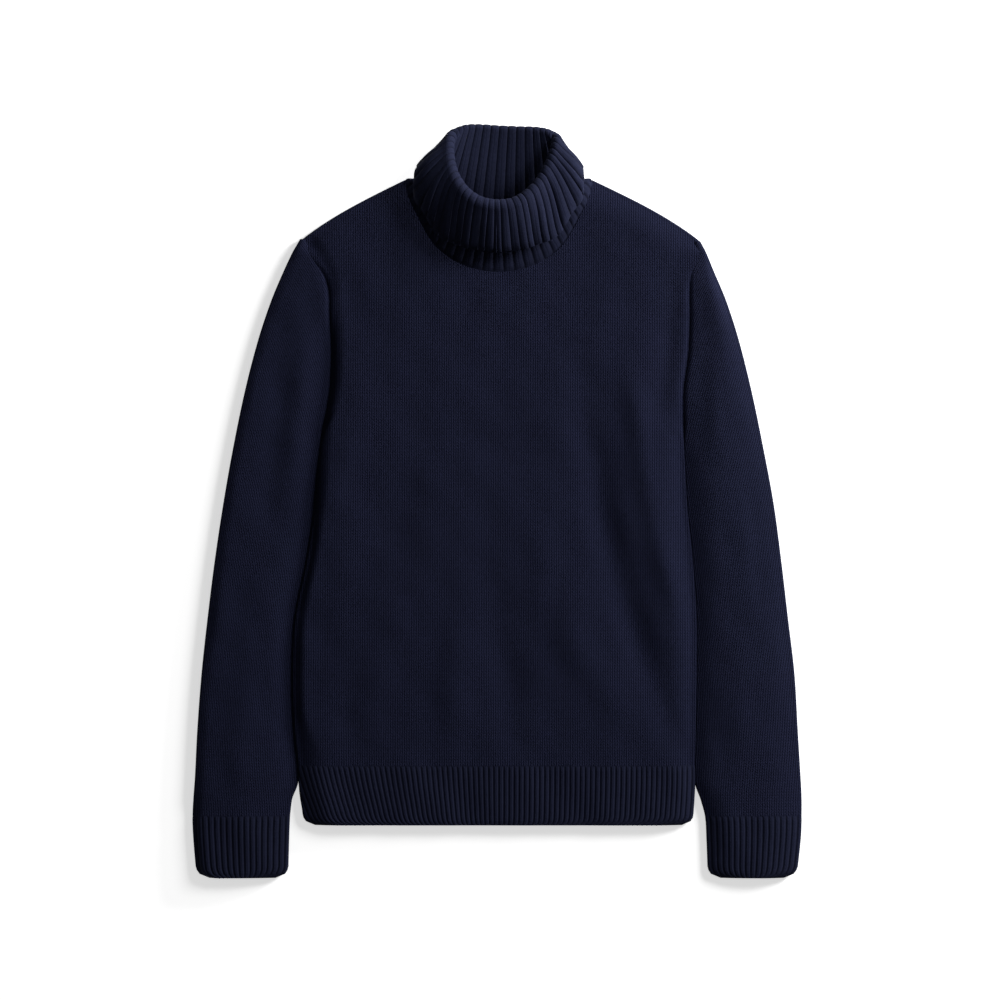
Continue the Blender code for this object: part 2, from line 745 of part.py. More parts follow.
def centre_on_ground(collection):
    """Moves every mesh so that the middle of the garment's box lies over the origin."""
    corners = [vertex.co for piece in collection.objects for vertex in piece.data.vertices]
    low = [min(corner[axis] for corner in corners) for axis in range(3)]
    high = [max(corner[axis] for corner in corners) for axis in range(3)]
    shift = ((low[0] + high[0]) / -2, (low[1] + high[1]) / -2, -low[2])
    for piece in collection.objects:
        for vertex in piece.data.vertices:
            vertex.co = [value + move for value, move in zip(vertex.co, shift)]


def main():
    clear_scene()
    collection = make_collection("roll_neck_sweater")
    jersey = make_material("navy_jersey", (0.014, 0.017, 0.034), 0.92)
    ribbing = make_material("navy_rib", (0.013, 0.016, 0.031), 0.92)
    build_panel("front_panel", front_point, FRONT_COLUMNS, collection, jersey)
    build_panel("back_panel", back_point, BACK_COLUMNS, collection, jersey)
    build_hem("front_hem_rib", hem_front_point, HEM_COLUMNS, half_rib, 1.0, collection, ribbing)
    build_hem("back_hem_rib", hem_back_point, HEM_BACK_COLUMNS, no_rib, -1.0, collection, ribbing)
    for side in ("right", "left"):
        levels = [up for up in SLEEVE_LEVELS if up < SLEEVE_TOP[side]] + [SLEEVE_TOP[side]]
        build_tube(side + "_sleeve", side, [CUFF_TOP + SEAM_GAP / 2] + levels,
                   (SLEEVE_TOP_COLUMNS, SLEEVE_UNDER_COLUMNS), no_rib, collection, jersey)
        build_tube(side + "_cuff", side, CUFF_LEVELS,
                   (CUFF_TOP_COLUMNS, CUFF_UNDER_COLUMNS), half_rib, collection, ribbing)
    build_collar_part("collar_foot", foot_section, collection, ribbing)
    build_collar_part("collar_roll", roll_section, collection, ribbing)
    centre_on_ground(collection)


NECK_TURNS, NECK_LENGTHS = neckline_lengths()
main()
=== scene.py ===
import math

import bmesh
import bpy
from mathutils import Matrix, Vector


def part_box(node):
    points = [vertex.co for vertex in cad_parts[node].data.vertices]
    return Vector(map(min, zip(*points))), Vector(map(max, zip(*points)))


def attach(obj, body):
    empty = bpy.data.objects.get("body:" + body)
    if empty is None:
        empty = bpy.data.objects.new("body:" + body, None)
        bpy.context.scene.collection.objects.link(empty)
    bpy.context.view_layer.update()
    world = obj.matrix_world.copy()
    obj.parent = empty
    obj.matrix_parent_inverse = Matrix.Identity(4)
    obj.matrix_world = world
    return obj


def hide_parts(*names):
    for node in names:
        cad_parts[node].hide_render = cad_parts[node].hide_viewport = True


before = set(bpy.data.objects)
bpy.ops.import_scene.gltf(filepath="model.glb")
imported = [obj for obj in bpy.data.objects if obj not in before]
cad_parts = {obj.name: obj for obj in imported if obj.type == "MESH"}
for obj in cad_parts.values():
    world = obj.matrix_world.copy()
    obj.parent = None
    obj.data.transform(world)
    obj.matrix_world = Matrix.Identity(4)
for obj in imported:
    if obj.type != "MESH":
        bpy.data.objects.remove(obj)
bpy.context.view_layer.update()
print("frame loaded:", len(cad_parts), "nodes")

# Sizes are in millimetres as the garment lies: x across, up from the hem's lower edge towards
# the collar, z off the floor. The wearer's right is at -x. A pair such as (505.0, 45.0) is for
# fadeIn, fadeOut or bell: where a change starts, ends or is greatest, and its width.
garment = {
    "seamGap": 0.3, "edgeHeight": 6.8, "fullHeight": 11.2, "middleHeight": 4.25,
    "underRadius": 4.1, "riseWidth": 27.0, "hemTop": 62.5, "cuffTop": 9.5, "cuffEnd": -56.0,
    "underarm": 397.0, "underarmBlend": 40.0, "shoulderUp": 619.0, "neckUp": 684.0,
    "neckHalf": 99.0, "frontDrop": 98.0, "backDrop": 25.0, "topLevel": 614.0,
    "shoulderBulge": 4.6, "bulgeLean": 1.4, "bulgeFullness": 0.7,
    "neckPinch": 0.06, "pinchAt": 0.48, "pinchWidth": 0.28,
}
knit = {"wale": 3.7, "course": 3.1, "cloth": 1.8}   # stitch sizes and the shell's thickness
quarterTurn = math.pi / 2
sideSign = {"right": -1.0, "left": 1.0}
innerColumn = {"right": 1, "left": 2}   # of the two tables below
outerColumn = {"right": 3, "left": 4}
topFold = garment["edgeHeight"] - garment["middleHeight"] - garment["seamGap"] / 2
jerseyStart = garment["hemTop"] + garment["seamGap"] / 2

# side lines of the body: up, right, left
bodyLines = (
    (0, 206, 206), (14, 208, 207), (38, 211.5, 208.5), (62, 213, 209), (100, 217, 210),
    (160, 219, 211), (220, 216, 211), (280, 204, 207), (340, 195, 201), (397, 190, 198),
    (420, 187, 197), (460, 180, 197), (500, 178, 202), (540, 180, 204), (564, 181, 204),
    (582, 187, 206), (598, 198, 213), (606, 203, 216), (619, 210, 213),
)
# side lines of the sleeves: up, right inner, left inner, right outer, left outer
sleeveLines = (
    (-56, 223, 222, 320, 316), (-15, 222, 220.5, 323.5, 320.5), (9, 221, 219, 324.5, 321.5),
    (30, 218.5, 213.5, 323.5, 321.5), (50, 214.5, 209.5, 322, 320.5),
    (100, 217.5, 210.5, 319.5, 317.5), (160, 219.5, 211.5, 315, 314),
    (220, 216.5, 211.5, 308.5, 307), (280, 204.5, 207.5, 301, 300),
    (340, 195.5, 201.5, 292, 292), (397, 190.5, 198.5, 282, 281.5), (460, 181, 198, 269, 268.5),
    (514, 181, 203, 255, 255), (556, 182, 205, 241, 241.5), (588, 191, 208, 227.5, 228),
    (607, 204, 216, 218.5, 220), (614, 207.5, 215, 214.5, 216.5), (621, 210.5, 213, 210.5, 213),
)


def curveThrough(rows, column, at):
    # a smooth curve through one column of a table, straight on past its ends
    last = len(rows) - 1
    index = 0
    while index < last - 1 and rows[index + 1][0] < at:
        index += 1

    def slope(row):
        low, high = rows[max(row - 1, 0)], rows[min(row + 1, last)]
        return (high[column] - low[column]) / (high[0] - low[0])

    low, high = rows[index], rows[index + 1]
    span = high[0] - low[0]
    share = (at - low[0]) / span
    if share < 0.0:
        return low[column] + slope(index) * (at - low[0])
    if share > 1.0:
        return high[column] + slope(index + 1) * (at - high[0])
    square, cube = share ** 2, share ** 3
    return ((2 * cube - 3 * square + 1) * low[column]
            + (cube - 2 * square + share) * slope(index) * span
            + (3 * square - 2 * cube) * high[column] + (cube - square) * slope(index + 1) * span)


def softStep(share):
    share = min(max(share, 0.0), 1.0)
    return share * share * (3.0 - 2.0 * share)


def fadeIn(value, start, width):
    # 0 up to the start and 1 from a width further on
    return softStep((value - start) / width)


def fadeOut(value, end, width):
    # 1 up to a width before the end and 0 from there on
    return softStep((end - value) / width)


def bell(value, middle, width):
    return math.exp(-((value - middle) / width) ** 2)


def softRise(distance, width):
    # steep at first and level at the width
    return 1.0 - (1.0 - min(max(distance / width, 0.0), 1.0)) ** 2


def mixed(low, high, share):
    return low + (high - low) * share


def sideOf(x):
    return "right" if x < 0.0 else "left"


def bodyEdge(up, side):
    return curveThrough(bodyLines, innerColumn[side], min(up, garment["shoulderUp"]))


def cornerPull(height, radius):
    # how far a rounded lower corner draws the side line in
    short = radius - max(height, 0.0)
    return radius - math.sqrt(max(radius ** 2 - short ** 2, 0.0)) if height < radius else 0.0


def roundOver(run, radius, angle):
    # distance inwards and height lost after a run round an edge, from its outermost line
    left = angle - run / radius
    if left >= 0.0:
        return radius * (math.sin(angle) - math.sin(left)), radius * (1.0 - math.cos(left))
    return radius * math.sin(angle) - left * radius, 0.0


def runAt(distance, radius, angle):
    # the run that roundOver needs to come this far inwards
    reach = radius * math.sin(angle)
    if distance >= reach:
        return radius * angle + distance - reach
    return radius * (angle - math.asin((reach - distance) / radius))


originX = (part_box("back_hem_rib")[0].x * 1000.0 - garment["seamGap"] / 2
           + bodyEdge(garment["hemTop"] - garment["seamGap"] / 2, "right"))
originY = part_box("back_hem_rib")[0].y * 1000.0


def place(x, up, z):
    # a drawing place in millimetres as a place in the frame, in metres
    return Vector((x + originX, up + originY, z)) * 0.001


# Soft folds: height, half width, then two or more points that the fold runs through.
# The wearer's left is positive x, and the light comes from the upper left of the wearer.
bodyFolds = (
    (-3.0, 17, (90, 472), (95, 419), (103, 376), (110, 334), (120, 292), (129, 260), (138, 228),
     (148, 196), (161, 164), (173, 132), (186, 103), (201, 73)),
    (2.2, 14, (135, 493), (148, 440), (155, 387), (161, 344), (169, 302), (180, 260), (190, 223),
     (200, 186)),
    (-2.4, 17, (186, 567), (184, 514), (179, 477), (172, 440), (174, 408)),
    (1.7, 23, (40, 302), (63, 238), (81, 196), (102, 159), (120, 122), (139, 90)),
    (-1.6, 17, (-5, 270), (1, 196), (5, 164), (16, 95)),
    (1.2, 19, (-45, 217), (-49, 143), (-45, 80)),
    (-1.1, 18, (-155, 164), (-162, 127), (-157, 90)),
    (-0.9, 22, (-210, 238), (-187, 196)),
    (-1.2, 26, (-83, 376), (-113, 323), (-134, 281)),
    (1.5, 16, (-157, 419), (-172, 366), (-183, 313)),
    (-1.0, 22, (-62, 419), (-9, 403), (44, 392)),
    (-0.9, 16, (-163, 588), (-155, 546), (-134, 509)),
    (0.8, 20, (108, 556), (99, 504)),
    (0.7, 24, (-20, 567), (7, 546)),
    (-0.8, 14, (65, 281), (60, 238), (52, 196)),
    (0.9, 14, (-104, 249), (-109, 196)),
    (0.8, 12, (214, 132), (205, 90)),
)
sleeveFolds = {
    "right": (
        (-2.0, 16, (-227, 525), (-232, 450), (-236, 408), (-242, 344), (-249, 281)),
        (1.4, 12, (-202, 525), (-208, 450), (-217, 376)),
        (-1.1, 13, (-251, 238), (-251, 154), (-246, 90)),
        (1.1, 14, (-274, 132), (-276, 69), (-274, 26)),
        (0.8, 12, (-289, 281), (-297, 186)),
    ),
    "left": (
        (0.9, 13, (226, 482), (237, 398), (245, 323)),
        (-0.7, 10, (262, 398), (274, 302), (281, 217)),
        (0.8, 14, (254, 196), (258, 111), (267, 37)),
        (-0.8, 12, (231, 111), (237, 58), (237, 26)),
        (0.6, 10, (296, 196), (305, 111)),
    ),
}
foldEnds = {"share": 0.3, "height": 0.25}   # the last share of a fold sinks to this height
foldReach = 130.0   # folds that start farther to the side than this are passed over
unevenness = {   # no laid knit is level: two heights with the rates and starts of their waves
    "broadHeight": 0.35, "across": 0.061, "sway": (1.3, 0.017), "along": (0.023, 0.8),
    "fineHeight": 0.22, "slanting": (0.13, 0.041, 2.0), "crossing": (0.052, 0.019),
}


def foldHeight(folds, x, up):
    total = 0.0
    for height, halfWidth, *points in folds:
        if abs(x - points[0][0]) > foldReach:
            continue
        length = 0.0
        best = None
        for (x1, up1), (x2, up2) in zip(points, points[1:]):
            runX, runUp = x2 - x1, up2 - up1
            reach = math.hypot(runX, runUp)
            share = ((x - x1) * runX + (up - up1) * runUp) / reach ** 2
            share = min(max(share, 0.0), 1.0)
            away = math.hypot(x - x1 - runX * share, up - up1 - runUp * share)
            if best is None or away < best[0]:
                best = (away, length + reach * share)
            length += reach
        away, along = best
        ends = min(along, length - along) / (foldEnds["share"] * length)
        height *= mixed(foldEnds["height"], 1.0, softStep(ends))
        total += height * bell(away, 0.0, halfWidth)
    return total


def ripple(x, up):
    sway, rate = unevenness["sway"]
    broad = math.sin(x * unevenness["across"] + sway * math.sin(up * rate))
    rate, start = unevenness["along"]
    broad *= math.sin(up * rate + start)
    rateX, rateUp, start = unevenness["slanting"]
    fine = math.sin(x * rateX + up * rateUp + start)
    rateUp, rateX = unevenness["crossing"]
    fine *= math.sin(up * rateUp - x * rateX)
    return unevenness["broadHeight"] * broad + unevenness["fineHeight"] * fine


def clothLift(folds, x, up):
    # how far the cloth's upper side lies above the height of its edges
    level = garment["fullHeight"] - garment["edgeHeight"]
    return level + foldHeight(folds, x, up) + ripple(x, up)


# The seams between the body and the sleeves, with the cloth's rise on both sides of them
seam = {
    "bodyRise": {"right": 9.0, "left": 25.0},   # width of the body's rise from its edge
    "riseBlend": 60.0,
    "steep": {"right": 4.0, "left": 0.0}, "steepFrom": (290.0, 60.0), "steepTo": (550.0, 40.0),
    "sleeveRise": {"right": (48.0, 9.0), "left": (30.0, 55.0)},   # from the inner edge, the outer
    "raiseWidth": 16.0, "topFade": 8.0,
    "sewnRaise": 3.2, "sewnFrom": (505.0, 45.0), "tip": (620.0, 16.0),
    "raiseRows": {   # up, and how far the seam stands up there
        "right": ((200, 0.0), (300, -0.6), (400, -0.6), (470, 0.0), (510, 0.6), (540, 2.4)),
        "left": ((200, -1.2), (260, -1.2), (330, -1.2), (400, 0.4), (450, 2.0), (520, 2.6)),
    },
    "outerRaise": {"right": 3.0, "left": 0.0}, "outerFrom": (10.0, 30.0),
    "sleeveDrop": {"right": 2.2, "left": 0.0},   # the sleeve lies lower than the body
    "dropFrom": (20.0, 40.0), "dropTo": (430.0, 80.0),
}
edgeTurn = {   # how far the upper side edge turns over, and limits in millimetres
    "armhole": math.radians(50), "tip": math.radians(12), "tipFrom": (565.0, 35.0),
    "radiusMost": 9.0, "runLeast": 6.0, "lossLeast": 1.0,
}


def armholeShare(up):
    return fadeIn(up, garment["underarm"], garment["underarmBlend"])


def edgeShape(up):
    # angles and radii of the rounded upper and lower side edge, which is a crease at the armhole
    crease = armholeShare(up)
    upperAngle = mixed(quarterTurn, edgeTurn["armhole"], crease)
    upperAngle += fadeIn(up, *edgeTurn["tipFrom"]) * (edgeTurn["tip"] - edgeTurn["armhole"])
    lowerAngle = quarterTurn * (1.0 - crease)
    underTop = garment["middleHeight"] - garment["seamGap"] / 2
    underTop -= (garment["underRadius"] - knit["cloth"]) * math.cos(lowerAngle)
    seamHeight = underTop + garment["seamGap"] + knit["cloth"] * math.cos(upperAngle)
    upperRadius = (garment["edgeHeight"] - seamHeight) / (1.0 - math.cos(upperAngle))
    return upperAngle, min(upperRadius, edgeTurn["radiusMost"]), lowerAngle


def shoulderWidth(side):
    return bodyEdge(garment["shoulderUp"], side) - garment["neckHalf"]


def shoulderSlope(side):
    return math.atan2(garment["neckUp"] - garment["shoulderUp"], shoulderWidth(side))


def shoulderLine(x, side):
    beyond = abs(x) - garment["neckHalf"]
    share = min(max(beyond / shoulderWidth(side), 0.0), 1.0)
    bulge = math.sin(math.pi * share ** garment["bulgeLean"]) ** garment["bulgeFullness"]
    line = garment["neckUp"] - beyond * math.tan(shoulderSlope(side))
    return line + garment["shoulderBulge"] * bulge


def pinch(drop):
    # the front neckline runs in more steeply than a half ellipse; drop is 0 at the neck point
    return 1.0 - garment["neckPinch"] * bell(drop, garment["pinchAt"], garment["pinchWidth"])


def sideRounding(level, side, upper):
    # edge, radius, angle, run round the edge, and where the panel starts beyond it
    upperAngle, upperRadius, lowerAngle = edgeShape(level)
    angle, radius = (upperAngle, upperRadius) if upper else (lowerAngle, garment["underRadius"])
    edge = bodyEdge(level, side) - garment["seamGap"] / 2
    run = max(radius * angle, edgeTurn["runLeast"])
    return edge, radius, angle, run, edge - roundOver(run, radius, angle)[0]


def seamRaise(up, side):
    # how far the seam between body and sleeve stands up, so that it is only a line at the armhole
    rows = seam["raiseRows"][side]
    raised = curveThrough(rows, 1, min(max(up, rows[0][0]), rows[-1][0]))
    raised = max(seam["sewnRaise"] * fadeIn(up, *seam["sewnFrom"]), raised)
    return raised * fadeOut(up, *seam["tip"])


def frontHeight(x, up, fromSide, fromTop):
    side = sideOf(x)
    aboveHem = fadeIn(up, garment["hemTop"], seam["riseBlend"])
    riseWidth = mixed(garment["riseWidth"], seam["bodyRise"][side], aboveHem)
    early = seam["steep"][side] * fadeIn(up, *seam["steepFrom"]) * fadeOut(up, *seam["steepTo"])
    rise = softRise(fromSide + early, riseWidth + early) * softRise(fromTop, garment["riseWidth"])
    raised = seamRaise(up, side) * softStep(fromTop / seam["topFade"])
    atSeam = raised * bell(max(fromSide, 0.0), 0.0, seam["raiseWidth"])
    lift = max(clothLift(bodyFolds, x, up), atSeam / 2)
    return garment["edgeHeight"] + mixed(atSeam, lift, rise), raised


# Shares of a half panel's columns: round its side edge, and from there to the neck point, where
# they crowd because the neckline is steep. The side entries keep the rows level at the side.
panel = {"edgeShare": 0.04, "neckShare": 0.42, "topRows": 0.05, "sideReach": 1.4, "sideBend": 6.0}


def panelPoint(across, level, above, upper):
    # across runs from -1 to 1; level from the hem rib up; above from 0 to 1 round the shoulder
    side = sideOf(across)
    edge, radius, angle, edgeRun, levelFrom = sideRounding(level, side, upper)
    topEdge, topRadius, topAngle, topRun, topFrom = sideRounding(garment["topLevel"], side, upper)
    fromEdge = 1.0 - abs(across)
    edgeShare, neckShare = panel["edgeShare"], panel["neckShare"]
    neckDrop = None
    sideLoss = 0.0
    if fromEdge < edgeShare:
        inward, sideLoss = roundOver(edgeRun * fromEdge / edgeShare, radius, angle)
        x = edge - inward
        topX = topEdge - roundOver(topRun * fromEdge / edgeShare, topRadius, topAngle)[0]
    else:
        share = (fromEdge - edgeShare) / (1.0 - edgeShare)
        if share < neckShare:
            topX = mixed(topFrom, garment["neckHalf"], share / neckShare)
        else:
            turn = quarterTurn * (share - neckShare) / (1.0 - neckShare)
            neckDrop = math.sin(turn)
            topX = garment["neckHalf"] * math.cos(turn)
            topX *= pinch(neckDrop) / pinch(0.0) if upper else 1.0
        beyond = max(topX - garment["neckHalf"], 0.0) / (topFrom - garment["neckHalf"])
        x = topX + (levelFrom - topFrom) * beyond
    lineUp = topUp = shoulderLine(topX, side)
    if neckDrop is not None:
        topUp = garment["neckUp"] - garment["frontDrop" if upper else "backDrop"] * neckDrop
    foldRadius = topFold if upper else garment["underRadius"]
    lean = math.cos(shoulderSlope(side))
    start = max((lineUp - topUp) * lean, 0.0)
    run = runAt(start, foldRadius, quarterTurn) + foldRadius * quarterTurn * (1.0 - above)
    inward, topLoss = roundOver(run, foldRadius, quarterTurn)
    up = topUp - (inward - start) / lean
    if above == 0.0:
        share = (level - jerseyStart) / (garment["topLevel"] - jerseyStart)
        bend = mixed(1.0, panel["sideBend"], softStep(panel["sideReach"] - fromEdge / edgeShare))
        up = level + (up - garment["topLevel"]) * share ** bend
    fromTop = (shoulderLine(x, side) - up) * lean - foldRadius
    x *= sideSign[side]
    loss = max(sideLoss, topLoss)
    if not upper:
        return x, up, loss
    height, raised = frontHeight(x, up, levelFrom - abs(x), fromTop)
    lossMost = max(radius * (1.0 - math.cos(angle)), edgeTurn["lossLeast"])
    return x, up, height - loss - (1.0 - armholeShare(level)) * raised * sideLoss / lossMost


def addObject(name, data):
    thing = bpy.data.objects.new(name, data)
    bpy.context.scene.collection.objects.link(thing)
    return thing


weldReach = 2e-6   # in metres, between the points that meet where a tube closes


# Makes a piece from a grid whose points a function moves. pointAt(u, v) gives a place in
# millimetres, and stitchAt(u, v, spot) the wale and course there.
def clothPiece(name, columns, rows, pointAt, stitchAt, material, joined=False, turned=False,
               thickness=knit["cloth"]):
    mesh = bmesh.new()
    bmesh.ops.create_grid(mesh, x_segments=columns, y_segments=rows, size=0.5)
    stitches = mesh.loops.layers.uv.new("Stitches")
    counts = {}
    for vertex in mesh.verts:
        u, v = vertex.co.x + 0.5, vertex.co.y + 0.5
        spot = pointAt(u, v)
        counts[vertex] = stitchAt(u, v, spot)
        vertex.co = place(*spot)
    for face in mesh.faces:
        for loop in face.loops:
            loop[stitches].uv = counts[loop.vert]
        face.smooth = True
    if joined:
        bmesh.ops.remove_doubles(mesh, verts=mesh.verts, dist=weldReach)
    if turned:
        bmesh.ops.reverse_faces(mesh, faces=mesh.faces)
    for edge in mesh.edges:
        edge.smooth = not edge.is_boundary   # so that the cloth's cut edge does not shade its face
    data = bpy.data.meshes.new(name)
    mesh.to_mesh(data)
    mesh.free()
    data.materials.append(material)
    piece = addObject(name, data)
    shell = piece.modifiers.new("Cloth thickness", "SOLIDIFY")
    shell.thickness = thickness * 0.001
    shell.offset = -1.0
    print("made", name, len(data.vertices), "points")
    return piece


# Body: front and back
def jerseyStitches(u, v, spot):
    return spot[0] / knit["wale"], spot[1] / knit["course"]


def bodyPlace(upper):
    # the last rows run round the shoulder fold and along the neckline
    levelRows = 1.0 - panel["topRows"]

    def point(u, v):
        level = mixed(jerseyStart, garment["topLevel"], min(v / levelRows, 1.0))
        above = max((v - levelRows) / panel["topRows"], 0.0)
        return panelPoint(2.0 * u - 1.0, level, above, upper)
    return point


# Ribs of hem and cuffs: broad and rounded between narrow grooves. A band's level is the share
# of the ribs' rise that lies below the jersey's surface.
ribShape = {
    "fullness": 3.2, "aboveFloor": (1.5, 3.0), "endFade": 3.0, "outward": 0.6, "crowding": 1.25,
    "sink": 0.08,   # how far they end below the jersey
}
hemRib = {"rise": 0.6, "corner": 11.0, "slant": 0.045, "ribsFront": 78, "tuck": 0.7, "level": 0.4}


def ribWave(count):
    # 0 at a whole number and 1 halfway between two
    return 1.0 - abs(2.0 * (count % 1.0) - 1.0) ** ribShape["fullness"]


def ribRows(v):
    # the rows crowd towards the seam
    return 1.0 - (1.0 - v) ** ribShape["crowding"]


def ribCount(u, up):
    # the ribs of the wearer's right half lean inwards on their way down
    lean = hemRib["slant"] * max(1.0 - u / 0.5, 0.0)
    return u * hemRib["ribsFront"] - lean * (garment["hemTop"] - up)


def hemPlace(upper):
    top = garment["hemTop"] + (hemRib["tuck"] if upper else -garment["seamGap"] / 2)
    radius = topFold if upper else garment["underRadius"]

    def point(u, v):
        across = 2.0 * u - 1.0
        side = sideOf(across)
        up = top * ribRows(v)
        edge = bodyEdge(up, side) - garment["seamGap"] / 2 - cornerPull(up, hemRib["corner"])
        run = (edge - radius + radius * quarterTurn) * (1.0 - abs(across))
        inward, loss = roundOver(run, radius, quarterTurn)
        x = sideSign[side] * (edge - inward)
        if not upper:
            return x, up, loss
        rise = softRise(inward - radius, garment["riseWidth"])
        z = garment["edgeHeight"] + rise * clothLift(bodyFolds, x, up) - loss
        fade = fadeOut(up, top - hemRib["tuck"], ribShape["endFade"])
        rib = ribWave(ribCount(u, up)) * fadeIn(z, *ribShape["aboveFloor"])
        rib *= softStep(up / ribShape["endFade"])
        sideways = math.cos(min(run / radius, quarterTurn)) * ribShape["outward"]
        x += sideSign[side] * rib * hemRib["rise"] * sideways * fade
        return x, up, z + (rib - hemRib["level"]) * hemRib["rise"] * fade - ribShape["sink"]
    return point


def hemStitches(u, v, spot):
    return ribCount(u, spot[1]), spot[1] / knit["course"]


# Sleeves and cuffs are flattened tubes. edgeShare is the share of a tube's round that each of
# its four rounded edges takes, and the sleeve is narrow where it runs out to a point.
sleeve = {
    "top": {"right": 621.0, "left": 618.5}, "edgeShare": 0.09, "narrowUnder": 16.0,
    "riseShares": (0.6, 0.4),   # at most, from the inner edge and from the outer
    "press": {"right": 0.8, "left": 1.5},   # how far it goes under the body's edge
    "armholePress": (1.4, (500.0, 80.0)), "tipPress": (3.5, (604.0, 14.0)),
    "alongBody": (26.0, 30.0),   # from there up its inner edge follows the body
    "underWales": 0.91, "courses": 1.02,
}
cuffRib = {
    "rise": 0.6, "corner": 13.0, "ribsRound": 34, "edgeShare": 0.02, "level": 0.3,
    "upperSide": (4.0, 3.0), "sideShare": 0.1, "flatAtSide": 0.7,
}


def sleeveEdges(up, side):
    inner = curveThrough(sleeveLines, innerColumn[side], up)
    outer = curveThrough(sleeveLines, outerColumn[side], up)
    pressed = sleeve["press"][side]
    for more, start in (sleeve["armholePress"], sleeve["tipPress"]):
        pressed += more * fadeIn(up, *start)
    inner = mixed(inner, bodyEdge(up, side) - pressed, fadeIn(up, *sleeve["alongBody"]))
    pull = cornerPull(up - garment["cuffEnd"], cuffRib["corner"])
    return inner + pull, outer - pull


def tubePoint(u, up, side):
    # u from 0 at the inner seam over the top to 0.5 at the outer edge, and back underneath
    inner, outer = sleeveEdges(up, side)
    edgeShare = sleeve["edgeShare"]
    flatShare = 0.5 - 2.0 * edgeShare
    upperAngle, upperRadius, lowerAngle = edgeShape(up)
    notSewn = 1.0 - armholeShare(up)
    upperRadius += notSewn * garment["seamGap"] / 2 / (1.0 - math.cos(upperAngle))
    foldRadius = garment["edgeHeight"] - garment["middleHeight"]
    underRadius = garment["middleHeight"]
    narrow = min((outer - inner) / sleeve["narrowUnder"], 1.0)
    if u >= 0.5:
        loss = 0.0
        underRun = max(underRadius * lowerAngle, edgeTurn["runLeast"])
        if u < 0.5 + edgeShare:
            run = underRadius * quarterTurn * (u - 0.5) / edgeShare
            inward, loss = roundOver(run, underRadius, quarterTurn)
            x = outer - inward * narrow
        elif u < 1.0 - edgeShare:
            underEnd = inner + roundOver(underRun, underRadius, lowerAngle)[0] * narrow
            share = (u - 0.5 - edgeShare) / flatShare
            x = mixed(outer - underRadius * narrow, underEnd, share)
        else:
            inward, loss = roundOver(underRun * (1.0 - u) / edgeShare, underRadius, lowerAngle)
            x = inner + inward * narrow
        return sideSign[side] * x, up, loss
    overStart = inner + upperRadius * math.sin(upperAngle) * narrow
    overEnd = outer - foldRadius * narrow
    width = max(overEnd - overStart, 1.0)
    slender = min(width / garment["riseWidth"], 1.0)
    drop = seam["sleeveDrop"][side] * fadeOut(up, *seam["dropTo"]) * fadeIn(up, *seam["dropFrom"])
    atInner = seamRaise(up, side) - drop
    atOuter = seam["outerRaise"][side] * slender * fadeIn(up, *seam["outerFrom"])
    loss = 0.0
    if u < edgeShare:
        run = upperRadius * upperAngle * u / edgeShare
        inward, loss = roundOver(run, upperRadius, upperAngle)
        x = inner + inward * narrow
        lossMost = max(upperRadius * (1.0 - math.cos(upperAngle)), edgeTurn["lossLeast"])
        loss += notSewn * atInner * loss / lossMost
    elif u < 0.5 - edgeShare:
        x = mixed(overStart, overEnd, (u - edgeShare) / flatShare)
    else:
        run = foldRadius * quarterTurn * (0.5 - u) / edgeShare
        inward, loss = roundOver(run, foldRadius, quarterTurn)
        x = outer - inward * narrow
        loss += atOuter * loss / foldRadius
    innerShare, outerShare = sleeve["riseShares"]
    riseInner, riseOuter = seam["sleeveRise"][side]
    rise = softRise(x - overStart, min(riseInner, width * innerShare)) * slender
    rise *= softRise(overEnd - x, min(riseOuter, width * outerShare))
    atSeam = atInner * bell(max(x - overStart, 0.0), 0.0, seam["raiseWidth"])
    atSeam += atOuter * bell(max(overEnd - x, 0.0), 0.0, seam["raiseWidth"])
    x *= sideSign[side]
    lift = clothLift(sleeveFolds[side], x, up)
    return x, up, garment["edgeHeight"] + mixed(atSeam, lift, rise) - loss


def sleevePlace(side):
    bottom = garment["cuffTop"] + garment["seamGap"] / 2
    return lambda u, v: tubePoint(u, mixed(bottom, sleeve["top"][side], v), side)


def sleeveStitches(side):
    # wales follow the sleeve, so they are counted from its outer edge
    def count(u, v, spot):
        outer = curveThrough(sleeveLines, outerColumn[side], spot[1])
        closeness = sleeve["underWales"] if u > 0.5 else 1.0
        wale = (abs(spot[0]) - outer) / knit["wale"] * closeness
        return wale, spot[1] * sleeve["courses"] / knit["course"]
    return count


def evenRound(u):
    # turns an even share of the way round the cuff into the share that tubePoint takes
    whole = 0.5 if u >= 0.5 else 0.0
    half = u - whole
    inner = min(half, 0.5 - half)
    tubeEdge, edge = sleeve["edgeShare"], cuffRib["edgeShare"]
    if inner < edge:
        inner *= tubeEdge / edge
    else:
        inner = tubeEdge + (inner - edge) * (0.25 - tubeEdge) / (0.25 - edge)
    return whole + (inner if half < 0.25 else 0.5 - inner)


